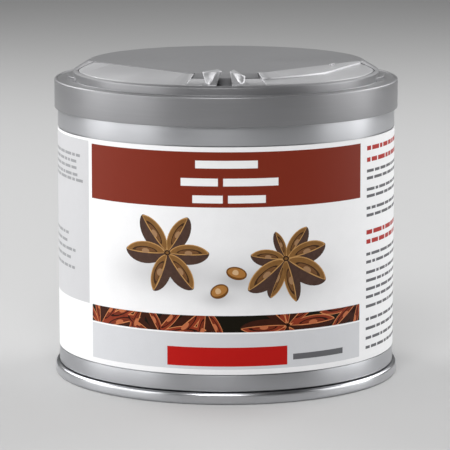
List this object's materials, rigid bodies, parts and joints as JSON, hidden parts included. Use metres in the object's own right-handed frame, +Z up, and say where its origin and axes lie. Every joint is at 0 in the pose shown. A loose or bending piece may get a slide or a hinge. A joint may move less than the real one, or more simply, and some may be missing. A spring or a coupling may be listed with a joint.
{
  "type": "round paper spice can",
  "caption": "Round silver paper can with a seamed metal base, a wrap-round printed label and a grey push-on lid whose pouring flaps are shut.",
  "frame": {"origin": "middle of the base, on the plane that the can stands on", "axes": "+Z up along the can's own axis, -Y to the front, where the flaps' finger grips and the middle of the label's print are, +X to the right seen from the front"},
  "size_m": [0.0968, 0.0968, 0.0897],
  "materials": {
    "tin_rim": "satin, finely brushed",
    "silver_board": "satin silver paper board",
    "label_print": "printed coated paper",
    "lid_plastic": "satin moulded plastic"
  },
  "bodies": {
    "root": {"bottom_end": "tin_rim", "can_body": "silver_board", "label_sleeve": "label_print", "lid_shell": "lid_plastic", "flap_left": "lid_plastic", "flap_right": "lid_plastic"}
  },
  "joints": []
}
